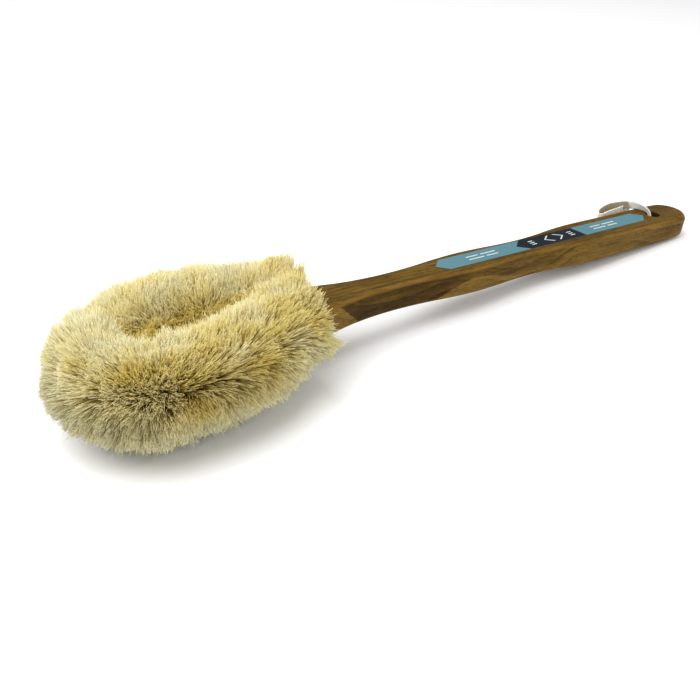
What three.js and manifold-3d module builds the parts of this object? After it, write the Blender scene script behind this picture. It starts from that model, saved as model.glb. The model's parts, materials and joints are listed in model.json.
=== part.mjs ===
// Body dry brush: a loop of plant fibre held in twisted steel wire, on a contoured wooden handle.
import * as THREE from "three";
import { mergeVertices } from "three/addons/utils/BufferGeometryUtils.js";
import Module from "manifold-3d";

const wasm = await Module();
wasm.setup();

// Driving dimensions, in millimetres.
const HANDLE_LENGTH = 275;
const HANDLE_THICKNESS = 14.6;
const HANDLE_EDGE_ROUND = 2.2;
const HEAD_CORNER_RADIUS = 3.2;
// Half the handle's width at stations along it, from its head corners to where the tail begins.
const HANDLE_HALF_WIDTHS = [
  [HEAD_CORNER_RADIUS, 13.2], [10, 12.2], [24, 9.4], [40, 7.9], [54, 7.8], [68, 8.6], [82, 10.0], [97, 10.9],
  [112, 10.5], [127, 9.5], [141, 9.2], [156, 10.0], [170, 11.7], [185, 12.7], [213, 12.4],
  [243, 12.2],
];
const TAIL_RADIUS = 12.2;

const HANG_HOLE_RADIUS = 4.2;
const HANG_HOLE_FROM_TAIL = 25.7;
const HANG_HOLE_RIM = 0.8;

const FIBRE_LENGTH = 27; // from the wires to the fibres' tips, so the fibre rope's radius
const RUN_OFFSET = 19.5; // from the middle plane to the middle of each long run of the loop
const NOSE_CENTRE_X = -74.5; // where the runs end and the half circle of the nose begins
const FLARE_X = -58; // where the runs begin to draw together towards the handle
const SLOT_GAP = 2; // between the two runs, where their fibres press on each other
const VALLEY_DEPTH = 0.2; // the share of their length that fibres lose beside the slot
const VALLEY_ANGLE = 52; // where they lose the most, in degrees up or down from the way inwards
const VALLEY_SPREAD = 38; // how far from there they lose nothing, in degrees
const SECTION_STEP = 7.5; // between the section's points, in degrees
const SECTION_GAP = 0.4; // between neighbouring sections of the fibre rope
const HEEL_CLEARANCE = 1.5; // between the fibre rope's ends and the handle
const CORE_TUNNEL_RADIUS = 2.9; // the space in the fibre rope that the wires fill

const WIRE_DIAMETER = 2.2;
const WIRE_GAP = 0.3; // between the two wires of the twist
const TWIST_PITCH = 17;
const STEM_OFFSET = 4.6; // from the middle plane to each end of the stem, in the handle
const STEM_DEPTH = 28; // how far each end reaches into the handle
const BORE_RADIUS = 2.8;
const BORE_DEPTH = STEM_DEPTH + 2;

const LABEL_THICKNESS = 0.2;
const LABEL_GAP = 0.3; // between the label and the wood
const LABEL_HALF_WIDTH = 5.65;
const LABEL_START = 78; // the points of its two arrow ends
const LABEL_END = 241;
const LABEL_ARROW = 5.8;

const TAPE_WIDTH = 5;
const TAPE_THICKNESS = 0.8;
const TAPE_STEPS = 72;
// The tape's middle line, from the middle of the hang hole's depth, in the handle's axes.
// Each row is x, y, z, then the way the tape's width lies there, then the width's share.
const TAPE_ROUTE = [
  [-2.2, 0.0, 0.5, 0, -1, 0, 0.44],
  [-2.2, 0.0, 4.0, 0, -1, 0, 0.44],
  [-2.3, 0.4, 6.8, 0, -1, 0.25, 0.46],
  [-3.1, 2.2, 9.1, -0.15, -0.75, 0.8, 0.58],
  [-4.3, 5.4, 10.1, -0.25, -0.3, 1, 0.78],
  [-6.0, 9.8, 10.2, -0.1, -0.1, 1, 0.96],
  [-8.2, 14.4, 9.2, 0, -0.05, 1, 1],
  [-11.8, 18.4, 7.8, 0, 0, 1, 1],
  [-16.8, 21.1, 6.4, 0, 0, 1, 1],
  [-22.8, 21.0, 5.0, 0, 0, 1, 1],
  [-26.6, 19.8, 3.8, 0, 0, 1, 1],
  [-27.9, 18.0, 3.2, 0, 0, 1, 1],
  [-26.7, 16.3, 3.5, 0, 0, 1, 1],
  [-22.8, 15.6, 4.9, 0, 0, 1, 1],
  [-16.5, 15.4, 5.6, 0, 0, 1, 1],
  [-10.0, 15.7, 6.0, 0, 0, 1, 1],
  [-5.0, 16.8, 5.3, 0.2, 0, 1, 1],
  [-1.2, 18.1, 2.8, 0.7, 0, 0.75, 1],
  [1.0, 18.8, -1.2, 1, 0, 0.2, 1],
  [1.8, 18.2, -5.2, 1, 0, 0, 1],
  [1.8, 15.4, -7.7, 1, 0, 0, 1],
  [1.2, 11.4, -8.2, 1, 0, 0, 1],
  [0.5, 7.4, -8.2, 1, 0, 0, 1],
  [0.1, 4.3, -7.9, 1, 0, 0, 0.95],
  [0.0, 2.5, -5.6, 1, 0, 0, 0.9],
  [0.0, 2.2, -2.0, 1, 0, 0, 0.9],
];

// The brush lies with the loop flat and the handle's tail touching the same surface.
const REST_TILT = Math.asin((FIBRE_LENGTH - HANDLE_THICKNESS / 2) / HANDLE_LENGTH);
const ENOUGH = 200; // longer than any cut needs

const finish = {
  wood: new THREE.MeshStandardMaterial({ color: 0x7d5a2c, roughness: 0.5, metalness: 0 }),
  fibre: new THREE.MeshStandardMaterial({ color: 0xdccf9e, roughness: 0.9, metalness: 0 }),
  steel: new THREE.MeshStandardMaterial({ color: 0xb4b4b0, roughness: 0.35, metalness: 1 }),
  label: new THREE.MeshStandardMaterial({ color: 0x5fa0b4, roughness: 0.4, metalness: 0 }),
  tape: new THREE.MeshStandardMaterial({ color: 0xe6e2d6, roughness: 0.95, metalness: 0 }),
};

// A closed three.js geometry as a solid that can be cut and joined.
function solid(geometry) {
  const bare = geometry.clone();
  bare.deleteAttribute("normal");
  bare.deleteAttribute("uv");
  const merged = mergeVertices(bare, 1e-4);
  return new wasm.Manifold(
    new wasm.Mesh({
      numProp: 3,
      vertProperties: merged.attributes.position.array,
      triVerts: new Uint32Array(merged.index.array),
    }),
  );
}

function geometryOf(manifold) {
  const mesh = manifold.getMesh();
  const geometry = new THREE.BufferGeometry();
  geometry.setAttribute("position", new THREE.BufferAttribute(mesh.vertProperties, 3));
  geometry.setIndex(new THREE.BufferAttribute(mesh.triVerts, 1));
  geometry.computeVertexNormals();
  return geometry;
}

function named(name, geometry, material) {
  const mesh = new THREE.Mesh(geometry, material);
  mesh.name = name;
  return mesh;
}

// A plane curve laid level at a height.
class LevelCurve extends THREE.Curve {
  constructor(plan, height) {
    super();
    this.plan = plan;
    this.height = height;
  }

  getPoint(t, target = new THREE.Vector3()) {
    const { x, y } = this.plan.getPoint(t);
    return target.set(x, y, this.height);
  }
}

// One wire of a pair that is twisted round a core curve.
class TwistedWire extends THREE.Curve {
  constructor(core, phase) {
    super();
    this.core = core;
    this.phase = phase;
    this.turns = core.getLength() / TWIST_PITCH;
    this.radius = (WIRE_DIAMETER + WIRE_GAP) / 2;
  }

  getPoint(t, target = new THREE.Vector3()) {
    const along = this.core.getTangent(t);
    const aside = new THREE.Vector3(0, 0, 1).cross(along).normalize();
    const above = along.clone().cross(aside);
    const angle = this.phase + 2 * Math.PI * this.turns * t;
    return target
      .copy(this.core.getPoint(t))
      .addScaledVector(aside, this.radius * Math.cos(angle))
      .addScaledVector(above, this.radius * Math.sin(angle));
  }
}

// The plan of the stem outside the handle, anticlockwise from the far bore: side is 1 for far.
function heelPlan(side) {
  const handleEnd = new THREE.Vector2(-HEEL_CLEARANCE, side * STEM_OFFSET);
  const runEnd = new THREE.Vector2(FLARE_X, side * RUN_OFFSET);
  const pull = new THREE.Vector2((handleEnd.x - runEnd.x) * 0.45, 0);
  const inner = handleEnd.clone().sub(pull);
  const outer = runEnd.clone().add(pull);
  return side > 0
    ? new THREE.CubicBezierCurve(handleEnd, inner, outer, runEnd)
    : new THREE.CubicBezierCurve(runEnd, outer, inner, handleEnd);
}

function runPlan(side) {
  const flare = new THREE.Vector2(FLARE_X - SECTION_GAP, side * RUN_OFFSET);
  const nose = new THREE.Vector2(NOSE_CENTRE_X + SECTION_GAP, side * RUN_OFFSET);
  return side > 0 ? new THREE.LineCurve(flare, nose) : new THREE.LineCurve(nose, flare);
}

function nosePlan() {
  return new THREE.EllipseCurve(
    NOSE_CENTRE_X, 0, RUN_OFFSET, RUN_OFFSET, Math.PI / 2, 1.5 * Math.PI, false,
  );
}

// How far the fibres reach at an angle in degrees, up or down from the way inwards.
function fibreReach(angle) {
  const aside = Math.min(1, Math.abs(angle - VALLEY_ANGLE) / VALLEY_SPREAD);
  return FIBRE_LENGTH * (1 - VALLEY_DEPTH * Math.cos((aside * Math.PI) / 2) ** 2);
}

// The fibre rope's section, with the tunnel for the wires; +y is towards the loop's middle.
// It stops at the slot's flat face, so it has no points beyond that.
function fibreSection(flat) {
  const points = [];
  for (let angle = 0; angle < 360; angle += SECTION_STEP) {
    const reach = fibreReach(Math.min(angle, 360 - angle));
    const turn = (angle * Math.PI) / 180;
    if (reach * Math.cos(turn) < flat) {
      points.push(new THREE.Vector2(-reach * Math.sin(turn), reach * Math.cos(turn)));
    }
  }
  const section = new THREE.Shape(points);
  const tunnel = new THREE.Path();
  tunnel.absarc(0, 0, CORE_TUNNEL_RADIUS, 0, 2 * Math.PI, true);
  section.holes.push(tunnel);
  return section;
}

function fibreAlong(plan, steps, flat) {
  return new THREE.ExtrudeGeometry(fibreSection(flat), {
    extrudePath: new LevelCurve(plan, FIBRE_LENGTH),
    steps,
    curveSegments: 12,
    bevelEnabled: false,
  });
}

// A heel section runs at a slant to the middle plane, so its slot face is cut and not drawn.
function heelFibre(side) {
  const whole = solid(fibreAlong(heelPlan(side), 10, FIBRE_LENGTH));
  const beyond = new THREE.BoxGeometry(ENOUGH, ENOUGH, ENOUGH);
  beyond.translate(0, side * (SLOT_GAP / 2 - ENOUGH / 2), 0);
  return geometryOf(whole.subtract(solid(beyond)));
}

function bristles() {
  const flat = RUN_OFFSET - SLOT_GAP / 2;
  return [
    named("bristle_nose", fibreAlong(nosePlan(), 16, flat), finish.fibre),
    named("bristle_run_far", fibreAlong(runPlan(1), 1, flat), finish.fibre),
    named("bristle_run_near", fibreAlong(runPlan(-1), 1, flat), finish.fibre),
    named("bristle_heel_far", heelFibre(1), finish.fibre),
    named("bristle_heel_near", heelFibre(-1), finish.fibre),
  ];
}

// The handle's own frame: its origin is in the middle of its head end.
function handleFrame() {
  const frame = new THREE.Group();
  frame.position.set(0, 0, FIBRE_LENGTH);
  frame.rotation.y = REST_TILT;
  frame.updateMatrix();
  return frame;
}

// The line that the twisted pair follows, from bore to bore through the whole loop.
function stemCore(frame) {
  const bent = (side) => {
    const deep = new THREE.Vector3(STEM_DEPTH, side * STEM_OFFSET, 0).applyMatrix4(frame.matrix);
    const mouth = new THREE.Vector3(0, side * STEM_OFFSET, 0).applyMatrix4(frame.matrix);
    const out = new THREE.Vector3(-HEEL_CLEARANCE, side * STEM_OFFSET, FIBRE_LENGTH);
    return { deep, mouth, out };
  };
  const far = bent(1);
  const near = bent(-1);
  const joint = (side, x) => new THREE.Vector3(x, side * RUN_OFFSET, FIBRE_LENGTH);
  const core = new THREE.CurvePath();
  core.add(new THREE.LineCurve3(far.deep, far.mouth));
  core.add(new THREE.LineCurve3(far.mouth, far.out));
  core.add(new LevelCurve(heelPlan(1), FIBRE_LENGTH));
  core.add(new THREE.LineCurve3(joint(1, FLARE_X), joint(1, NOSE_CENTRE_X)));
  core.add(new LevelCurve(nosePlan(), FIBRE_LENGTH));
  core.add(new THREE.LineCurve3(joint(-1, NOSE_CENTRE_X), joint(-1, FLARE_X)));
  core.add(new LevelCurve(heelPlan(-1), FIBRE_LENGTH));
  core.add(new THREE.LineCurve3(near.out, near.mouth));
  core.add(new THREE.LineCurve3(near.mouth, near.deep));
  return core;
}

function stemWires(frame) {
  const core = stemCore(frame);
  const section = new THREE.Shape();
  section.absarc(0, 0, WIRE_DIAMETER / 2, 0, 2 * Math.PI, false);
  const stepsPerTurn = 9;
  return ["stem_wire_a", "stem_wire_b"].map((name, index) => {
    const wire = new TwistedWire(core, index * Math.PI);
    const shape = new THREE.ExtrudeGeometry(section, {
      extrudePath: wire,
      steps: Math.round(wire.turns * stepsPerTurn),
      curveSegments: 3,
      bevelEnabled: false,
    });
    return named(name, shape, finish.steel);
  });
}

// The handle's outline from above: both sides through the stations, round corners and a round tail.
function handlePlan() {
  const near = HANDLE_HALF_WIDTHS.map(([x, half]) => new THREE.Vector2(x, -half));
  const far = HANDLE_HALF_WIDTHS.map(([x, half]) => new THREE.Vector2(x, half)).reverse();
  const tailCentre = HANDLE_LENGTH - TAIL_RADIUS;
  const corner = HEAD_CORNER_RADIUS;
  const cornerY = near[0].y + corner;
  const plan = new THREE.Shape();
  plan.absarc(corner, cornerY, corner, Math.PI, 1.5 * Math.PI, false);
  plan.splineThru(near.slice(1));
  plan.absarc(tailCentre, 0, TAIL_RADIUS, -Math.PI / 2, Math.PI / 2, false);
  plan.lineTo(far[0].x, far[0].y);
  plan.splineThru(far.slice(1));
  plan.absarc(corner, -cornerY, corner, Math.PI / 2, Math.PI, false);
  plan.closePath();
  return plan;
}

// A hole's cutter: a round bar that opens out at both faces, so that the hole's rims are eased.
function hangHoleCutter() {
  const half = HANDLE_THICKNESS / 2;
  const rim = HANG_HOLE_RADIUS + HANG_HOLE_RIM;
  const profile = [
    [0, -half - 1], [rim, -half - 1], [rim, -half], [HANG_HOLE_RADIUS, -half + HANG_HOLE_RIM],
    [HANG_HOLE_RADIUS, half - HANG_HOLE_RIM], [rim, half], [rim, half + 1], [0, half + 1],
  ].map(([x, y]) => new THREE.Vector2(x, y));
  const cutter = new THREE.LatheGeometry(profile, 32);
  cutter.rotateX(Math.PI / 2);
  cutter.translate(HANDLE_LENGTH - HANG_HOLE_FROM_TAIL, 0, 0);
  return solid(cutter);
}

function boreCutter(side) {
  const bore = new THREE.CylinderGeometry(BORE_RADIUS, BORE_RADIUS, BORE_DEPTH + 1, 16);
  bore.rotateZ(Math.PI / 2);
  bore.translate((BORE_DEPTH - 1) / 2, side * STEM_OFFSET, 0);
  return solid(bore);
}

function handle() {
  const blank = new THREE.ExtrudeGeometry(handlePlan(), {
    depth: HANDLE_THICKNESS - 2 * HANDLE_EDGE_ROUND,
    curveSegments: 4,
    bevelEnabled: true,
    bevelThickness: HANDLE_EDGE_ROUND,
    bevelSize: HANDLE_EDGE_ROUND,
    bevelOffset: -HANDLE_EDGE_ROUND,
    bevelSegments: 3,
  });
  blank.translate(0, 0, HANDLE_EDGE_ROUND - HANDLE_THICKNESS / 2);
  const cut = solid(blank)
    .subtract(hangHoleCutter())
    .subtract(boreCutter(1))
    .subtract(boreCutter(-1));
  return named("handle", geometryOf(cut), finish.wood);
}

// The sticker: a strip that ends in an arrow both ways.
function gripLabel() {
  const half = LABEL_HALF_WIDTH;
  const plan = new THREE.Shape();
  plan.moveTo(LABEL_START, 0);
  plan.lineTo(LABEL_START + LABEL_ARROW, -half);
  plan.lineTo(LABEL_END - LABEL_ARROW, -half);
  plan.lineTo(LABEL_END, 0);
  plan.lineTo(LABEL_END - LABEL_ARROW, half);
  plan.lineTo(LABEL_START + LABEL_ARROW, half);
  plan.closePath();
  const sticker = new THREE.ExtrudeGeometry(plan, { depth: LABEL_THICKNESS, bevelEnabled: false });
  sticker.translate(0, 0, HANDLE_THICKNESS / 2 + LABEL_GAP);
  return named("grip_label", sticker, finish.label);
}

// The hang loop: a straight strip of tape, bent along its route with its width turned as it goes.
function hangTape() {
  const middle = new THREE.CatmullRomCurve3(
    TAPE_ROUTE.map(([x, y, z]) => new THREE.Vector3(x, y, z)), false, "centripetal",
  );
  const widthWay = new THREE.CatmullRomCurve3(
    TAPE_ROUTE.map(([, , , x, y, z]) => new THREE.Vector3(x, y, z).normalize()),
  );
  const share = new THREE.SplineCurve(TAPE_ROUTE.map((row, i) => new THREE.Vector2(i, row[6])));
  const strip = new THREE.BoxGeometry(1, TAPE_WIDTH, TAPE_THICKNESS, TAPE_STEPS, 1, 1);
  const corners = strip.attributes.position;
  for (let i = 0; i < corners.count; i += 1) {
    const t = corners.getX(i) + 0.5;
    const along = middle.getTangent(t);
    const wide = widthWay.getPoint(t);
    wide.addScaledVector(along, -wide.dot(along)).normalize();
    const thick = along.clone().cross(wide);
    const corner = middle
      .getPoint(t)
      .addScaledVector(wide, corners.getY(i) * share.getPoint(t).y)
      .addScaledVector(thick, corners.getZ(i));
    corners.setXYZ(i, corner.x, corner.y, corner.z);
  }
  strip.translate(HANDLE_LENGTH - HANG_HOLE_FROM_TAIL, 0, 0);
  return named("hang_tape", strip, finish.tape);
}

const tilted = handleFrame();
tilted.add(handle(), gripLabel());

// The origin is under the middle of the brush, and the loose tape doesn't count in that middle.
const brush = new THREE.Group();
brush.add(tilted, ...stemWires(tilted), ...bristles());
const box = new THREE.Box3().setFromObject(brush);
tilted.add(hangTape());
brush.position.set(-(box.min.x + box.max.x) / 2, 0, -box.min.z);

export default brush;
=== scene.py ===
"""Body dry brush: a loop of plant fibre, a contoured handle with a grip label, and a hang tape."""

import json
import math

import bpy
import numpy as np
from mathutils import Matrix, Vector
from mathutils.kdtree import KDTree


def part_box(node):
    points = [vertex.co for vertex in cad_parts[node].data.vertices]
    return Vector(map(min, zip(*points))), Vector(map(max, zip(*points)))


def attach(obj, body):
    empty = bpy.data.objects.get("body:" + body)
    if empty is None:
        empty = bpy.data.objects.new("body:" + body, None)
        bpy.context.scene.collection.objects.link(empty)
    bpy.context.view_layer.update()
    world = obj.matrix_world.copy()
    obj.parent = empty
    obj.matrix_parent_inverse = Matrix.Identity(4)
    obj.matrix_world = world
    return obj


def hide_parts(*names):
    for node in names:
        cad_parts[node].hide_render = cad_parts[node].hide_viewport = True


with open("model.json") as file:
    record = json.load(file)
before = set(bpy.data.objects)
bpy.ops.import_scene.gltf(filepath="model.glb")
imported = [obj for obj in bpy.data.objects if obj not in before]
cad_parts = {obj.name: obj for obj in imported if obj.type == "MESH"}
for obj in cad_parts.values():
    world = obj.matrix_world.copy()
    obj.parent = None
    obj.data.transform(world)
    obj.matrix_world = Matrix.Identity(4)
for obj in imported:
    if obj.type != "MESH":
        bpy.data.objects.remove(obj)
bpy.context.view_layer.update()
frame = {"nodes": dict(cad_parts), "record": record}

MM = 0.001
FULL_TURN = 2 * math.pi
BRUSH = "brush"
HANG_LOOP = "hang_loop"
UV_NAME = "OFBake"

# The handle, in its own axes: x from its head end to its tail, z through its thickness.
HANDLE_LENGTH = 275.0
HANDLE_THICKNESS = 14.6
EDGE_ROUND = 2.2
TAIL_EDGE_ROUND = 3.8
HEAD_CORNER = 3.2
HALF_WIDTHS = [
    (10, 12.2), (24, 9.4), (40, 7.9), (54, 7.8), (68, 8.6), (82, 10.0), (97, 10.9), (112, 10.5),
    (127, 9.5), (141, 9.2), (156, 10.0), (170, 11.7), (185, 12.7), (213, 12.4), (243, 12.2),
]
HEAD_HALF_WIDTH = 13.2
TAIL_RADIUS = 12.2
HOLE_RADIUS = 4.2
HOLE_FROM_TAIL = 25.7
HOLE_X = HANDLE_LENGTH - HOLE_FROM_TAIL
HOLE_RIM = 0.8
BORE_RADIUS = 2.8
BORE_DEPTH = 30.0
STEM_OFFSET = 4.6

# The fibre rope, in the loop's axes: x is zero at the handle's head end.
FIBRE_LENGTH = 27.0
RUN_OFFSET = 19.5
NOSE_X = -74.5
FLARE_X = -58.0
HEEL_X = -1.5
HEEL_PULL = 0.45

REST_TILT = math.asin((FIBRE_LENGTH - HANDLE_THICKNESS / 2) / HANDLE_LENGTH)
nose_low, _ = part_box("bristle_nose")
ORIGIN = Vector((nose_low[0] - (NOSE_X - RUN_OFFSET - FIBRE_LENGTH) * MM, 0, FIBRE_LENGTH * MM))
HANDLE_FRAME = Matrix.Translation(ORIGIN) @ Matrix.Rotation(REST_TILT, 4, "Y")

HOLE_CENTRE = Vector(frame["record"]["behaviour"]["joints"][0]["pos_m"])
HOLE_FRAME = Matrix.Translation(HOLE_CENTRE) @ Matrix.Rotation(REST_TILT, 4, "Y")


# ---------------------------------------------------------------- camera
CAMERA_AZIMUTH = -32.3
CAMERA_ELEVATION = 35.15
CAMERA_PLACE = (-0.2204, -0.2669, 0.2188)
CAMERA_LENS = 38.84


def add_camera():
    azimuth, elevation = math.radians(CAMERA_AZIMUTH), math.radians(CAMERA_ELEVATION)
    back = Vector((
        math.sin(azimuth) * math.cos(elevation),
        -math.cos(azimuth) * math.cos(elevation),
        math.sin(elevation),
    ))
    right = Vector((math.cos(azimuth), math.sin(azimuth), 0))
    up = back.cross(right)
    data = bpy.data.cameras.new("camera")
    data.sensor_width = 36
    data.lens = CAMERA_LENS
    data.clip_start = 0.01
    camera = bpy.data.objects.new("camera", data)
    bpy.context.collection.objects.link(camera)
    turn = Matrix((right, up, back)).transposed().to_4x4()
    camera.matrix_world = Matrix.Translation(CAMERA_PLACE) @ turn
    bpy.context.scene.camera = camera


add_camera()


# ---------------------------------------------------------------- meshes
def add_mesh(name, verts, faces, smooth=True):
    """A new mesh object from corners in metres and faces that may have any number of corners."""
    mesh = bpy.data.meshes.new(name)
    mesh.from_pydata([tuple(v) for v in verts], [], faces)
    mesh.update()
    made = bpy.data.objects.new(name, mesh)
    bpy.context.collection.objects.link(made)
    mesh.polygons.foreach_set("use_smooth", [smooth] * len(mesh.polygons))
    return made


def tube_faces(rings, count):
    """Faces of a closed tube of rings with count corners each, and then its two caps."""
    faces = []
    for i in range(rings - 1):
        for k in range(count):
            m = (k + 1) % count
            faces.append((i * count + k, i * count + m, (i + 1) * count + m, (i + 1) * count + k))
    last = (rings - 1) * count
    faces.append(tuple(range(count))[::-1])
    faces.append(tuple(range(last, last + count)))
    return faces


def unit(v):
    return v / np.linalg.norm(v, axis=-1, keepdims=True)


def leftwards(way):
    """Each direction in the plane, turned a quarter anticlockwise."""
    return np.stack([-way[:, 1], way[:, 0]], axis=1)


def travelled(points, power=1.0):
    """How far along a line each of its points is, with each step raised to a power."""
    steps = np.linalg.norm(np.diff(points, axis=0), axis=1)
    return np.concatenate([[0], np.cumsum(steps ** power)])


def through(points, steps):
    """A smooth line through points, by Catmull-Rom splines with that many steps between two."""
    p = np.asarray(points, float)
    p = np.vstack([2 * p[0] - p[1], p, 2 * p[-1] - p[-2]])
    knots = travelled(p[:, :3], power=0.5)
    line = []
    for i in range(1, len(p) - 2):
        t = np.linspace(knots[i], knots[i + 1], steps, endpoint=False)[:, None]
        t0, t1, t2, t3 = knots[i - 1:i + 3]
        a1 = (t1 - t) / (t1 - t0) * p[i - 1] + (t - t0) / (t1 - t0) * p[i]
        a2 = (t2 - t) / (t2 - t1) * p[i] + (t - t1) / (t2 - t1) * p[i + 1]
        a3 = (t3 - t) / (t3 - t2) * p[i + 1] + (t - t2) / (t3 - t2) * p[i + 2]
        b1 = (t2 - t) / (t2 - t0) * a1 + (t - t0) / (t2 - t0) * a2
        b2 = (t3 - t) / (t3 - t1) * a2 + (t - t1) / (t3 - t1) * a3
        line.append((t2 - t) / (t2 - t1) * b1 + (t - t1) / (t2 - t1) * b2)
    return np.vstack([*line, p[-2][None]])


# ---------------------------------------------------------------- materials
class Nodes:
    """A new material's nodes, with short ways to add one and join it to the rest."""

    def __init__(self, name):
        self.material = bpy.data.materials.new(name)
        self.material.use_nodes = True
        self.tree = self.material.node_tree
        self.shader = self.tree.nodes["Principled BSDF"]

    def put(self, socket, value):
        if isinstance(value, bpy.types.NodeSocket):
            self.tree.links.new(value, socket)
        elif value is not None:
            socket.default_value = value

    def add(self, kind, settings=None, **inputs):
        """A new node. Its inputs go by name, or by number as _0, _1 and so on."""
        node = self.tree.nodes.new(kind)
        for key, value in (settings or {}).items():
            setattr(node, key, value)
        for key, value in inputs.items():
            name = int(key[1:]) if key[1:].isdigit() else key.replace("_", " ")
            self.put(node.inputs[name], value)
        return node

    def math(self, operation, a, b=None, c=None, clamp=False):
        node = self.add("ShaderNodeMath", {"operation": operation, "use_clamp": clamp})
        for socket, value in zip(node.inputs, (a, b, c)):
            self.put(socket, value)
        return node.outputs[0]

    def mix(self, factor, a, b, blend="MIX"):
        node = self.add("ShaderNodeMix", {"data_type": "RGBA", "blend_type": blend})
        self.put(node.inputs[0], factor)
        self.put(node.inputs[6], a)
        self.put(node.inputs[7], b)
        return node.outputs[2]

    def ramp(self, factor, stops):
        node = self.add("ShaderNodeValToRGB", _0=factor)
        elements = node.color_ramp.elements
        while len(elements) < len(stops):
            elements.new(0.5)
        for element, (at, colour) in zip(elements, stops):
            element.position = at
            element.color = (*colour, 1)
        return node.outputs[0]

    def rise(self, value, start, end, low=0.0, high=1.0):
        """From low to high as the value goes from start to end, and level beyond them."""
        node = self.add("ShaderNodeMapRange", Value=value, _1=start, _2=end, _3=low, _4=high)
        return node.outputs[0]

    def parts(self, vector):
        return self.add("ShaderNodeSeparateXYZ", _0=vector).outputs

    def scaled(self, vector, scale):
        return self.add("ShaderNodeMapping", Vector=vector, Scale=scale).outputs[0]

    def noise(self, vector, scale, detail=2.0, roughness=0.5):
        node = self.add(
            "ShaderNodeTexNoise", Vector=vector, Scale=scale, Detail=detail, Roughness=roughness,
        )
        return node.outputs["Fac"]

    def bump(self, height, strength, distance):
        node = self.add("ShaderNodeBump", Height=height, Strength=strength, Distance=distance)
        return node.outputs[0]

    def set(self, **inputs):
        for key, value in inputs.items():
            self.put(self.shader.inputs[key.replace("_", " ")], value)
        return self.material


def grey(value):
    return (value, value, value)


WOOD_TONES = [
    (0.15, (0.024, 0.0110, 0.0010)), (0.38, (0.068, 0.036, 0.0042)),
    (0.56, (0.125, 0.068, 0.0090)), (0.76, (0.200, 0.118, 0.0200)), (1.0, (0.270, 0.170, 0.040)),
]
# Painted highlight for the rounded edges.
EDGE_HIGHLIGHT_WOOD = (0.20, 0.105, 0.022, 1)
# Painted shade inside the hang hole.
HOLE_SHADE_WOOD = (0.016, 0.008, 0.002, 1)
GROWTH_RINGS_PER_METRE = 380.0
RING_LEAN = 0.25
RING_WANDER = 0.009
# The dark layer inside the handle: where its edge starts and ends beside the middle, how that
# leans and wanders, and where along the handle it and the pale wood outside it fade. In metres.
DARK_EDGE = (0.01030, 0.01048)
DARK_EDGE_LEAN = -0.22
DARK_EDGE_WANDER = 0.0006
DARK_FADING = (0.085, 0.125)
PALE_FADING = (0.120, 0.135)
# How far from the hole's wall the painted shade inside the hole starts and is full, in millimetres.
HOLE_SHADE = (0.7, 0.1)
HOLE_SHADE_SHARE = 0.8


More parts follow.
